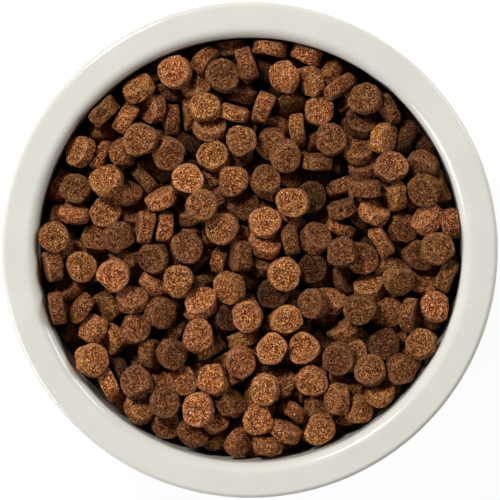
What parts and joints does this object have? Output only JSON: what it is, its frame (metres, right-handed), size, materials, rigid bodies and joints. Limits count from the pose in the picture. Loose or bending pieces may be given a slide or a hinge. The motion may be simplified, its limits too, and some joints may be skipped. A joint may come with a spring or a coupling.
{
  "type": "filled pet food bowl",
  "caption": "Round glazed stoneware pet bowl with a wide flat rim and a foot ring, heaped with small round pieces of dry food.",
  "frame": {"origin": "centre of the foot ring on the surface that the bowl stands on", "axes": "+Z up along the axis that the bowl was turned on; +X to the right and +Y up in the picture, which looks straight down"},
  "size_m": [0.16, 0.16, 0.0612],
  "materials": {
    "glaze": "gloss",
    "food": "matte"
  },
  "bodies": {
    "root": {"bowl": "glaze", "kibble_bed": "food", "kibble_01": "food", "kibble_02": "food", "kibble_03": "food", "kibble_04": "food", "kibble_05": "food", "kibble_06": "food", "kibble_07": "food", "kibble_08": "food", "kibble_09": "food", "kibble_10": "food", "kibble_11": "food", "kibble_12": "food", "kibble_13": "food", "kibble_14": "food", "kibble_15": "food", "kibble_16": "food", "kibble_17": "food", "kibble_18": "food", "kibble_19": "food", "kibble_20": "food", "kibble_21": "food", "kibble_22": "food", "kibble_23": "food", "kibble_24": "food", "kibble_25": "food", "kibble_26": "food", "kibble_27": "food", "kibble_28": "food", "kibble_29": "food", "kibble_30": "food", "kibble_31": "food", "kibble_32": "food", "kibble_33": "food", "kibble_34": "food", "kibble_35": "food", "kibble_36": "food", "kibble_37": "food", "kibble_38": "food", "kibble_39": "food", "kibble_40": "food", "kibble_41": "food", "kibble_42": "food", "kibble_43": "food", "kibble_44": "food", "kibble_45": "food", "kibble_46": "food", "kibble_47": "food", "kibble_48": "food", "kibble_49": "food", "kibble_50": "food", "kibble_51": "food", "kibble_52": "food", "kibble_53": "food", "kibble_54": "food", "kibble_55": "food", "kibble_56": "food", "kibble_57": "food", "kibble_58": "food"}
  },
  "joints": []
}
